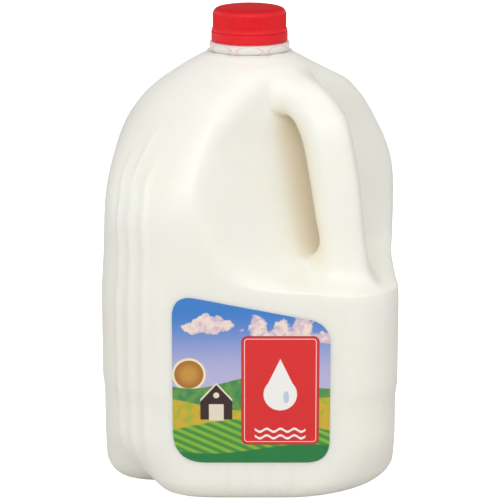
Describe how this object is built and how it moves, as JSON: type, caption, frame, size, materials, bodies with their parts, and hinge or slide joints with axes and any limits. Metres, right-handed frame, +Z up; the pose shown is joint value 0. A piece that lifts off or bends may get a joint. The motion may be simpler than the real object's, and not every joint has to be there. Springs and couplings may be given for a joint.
{
  "type": "plastic milk jug",
  "caption": "Full square blow-moulded milk jug with a corner handle, a screw cap and a stuck-on label.",
  "frame": {"origin": "middle of the foot, at the bottom centre of the overall box", "axes": "+Z up through the cap, +X towards the handle, so the mould's parting plane is XZ; the label side faces (+X, -Y)"},
  "size_m": [0.1926, 0.1846, 0.246],
  "materials": {
    "jug_plastic": "translucent natural plastic, full of milk, soft sheen",
    "cap_plastic": "moulded, satin",
    "label_film": "printed film, satin"
  },
  "bodies": {
    "root": {"jug": "jug_plastic", "cap": "cap_plastic", "label": "label_film"}
  },
  "joints": []
}
